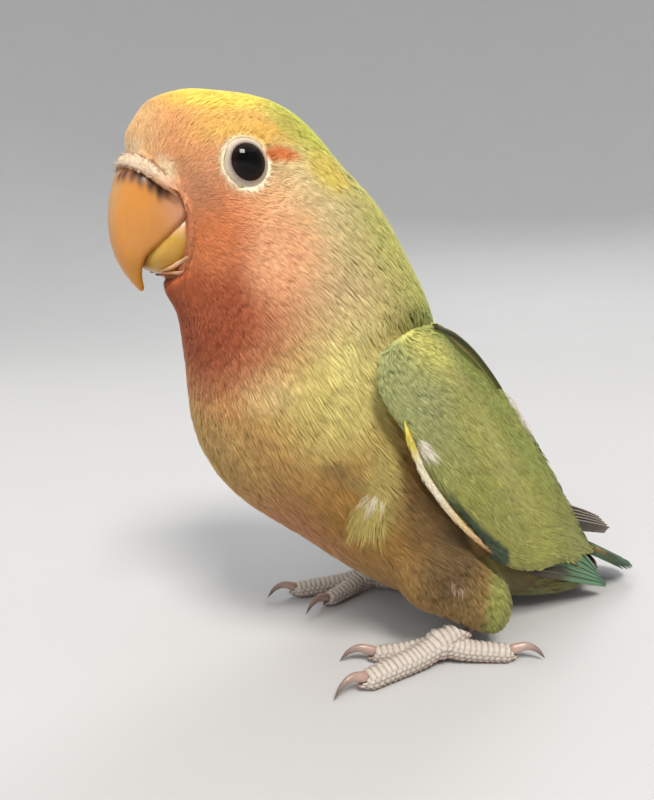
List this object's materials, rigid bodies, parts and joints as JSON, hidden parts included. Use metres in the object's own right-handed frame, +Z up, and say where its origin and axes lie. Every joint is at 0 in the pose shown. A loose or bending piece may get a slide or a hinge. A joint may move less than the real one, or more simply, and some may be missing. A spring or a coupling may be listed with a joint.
{
  "type": "peach faced lovebird",
  "caption": "Still, life-size young peach faced lovebird standing with its head turned a little to its left, wings folded, short tail.",
  "frame": {"origin": "on the floor, under the middle of the bird's bounding box", "axes": "+Z up, -Y the way the body faces, +X the bird's left; the floor is Z = 0"},
  "size_m": [0.0416, 0.101, 0.0876],
  "materials": {
    "peach_plumage": "soft dry feathers, peach to salmon, yellow-green on the nape",
    "breast_plumage": "soft dry feathers, buffy yellow-olive",
    "leg_plumage": "soft dry feathers, light yellow-green",
    "wing_plumage": "close smooth feathers, olive green",
    "flight_feathers": "stiff satin vanes, teal green with dark edges",
    "tail_feathers": "stiff satin vanes, dark green",
    "upper_bill": "satin horn, honey orange with dark smudges at its root",
    "lower_bill": "satin horn, yellow olive",
    "eye": "wet and near black",
    "foot_scales": "dry ringed scales, pale grey",
    "claw": "satin horn, pale pink grey"
  },
  "bodies": {
    "root": {"head": "peach_plumage", "neck": "peach_plumage", "trunk": "breast_plumage", "bill_upper": "upper_bill", "bill_lower": "lower_bill", "tail": "tail_feathers", "eye_left": "eye", "eye_right": "eye", "wing_left": "wing_plumage", "wing_right": "wing_plumage", "primaries_left": "flight_feathers", "primaries_right": "flight_feathers", "leg_left": "leg_plumage", "leg_right": "leg_plumage", "foot_left": "foot_scales", "foot_right": "foot_scales", "claw_left_inner_front": "claw", "claw_left_outer_front": "claw", "claw_left_outer_back": "claw", "claw_left_inner_back": "claw", "claw_right_inner_front": "claw", "claw_right_outer_front": "claw", "claw_right_outer_back": "claw", "claw_right_inner_back": "claw"}
  },
  "joints": []
}
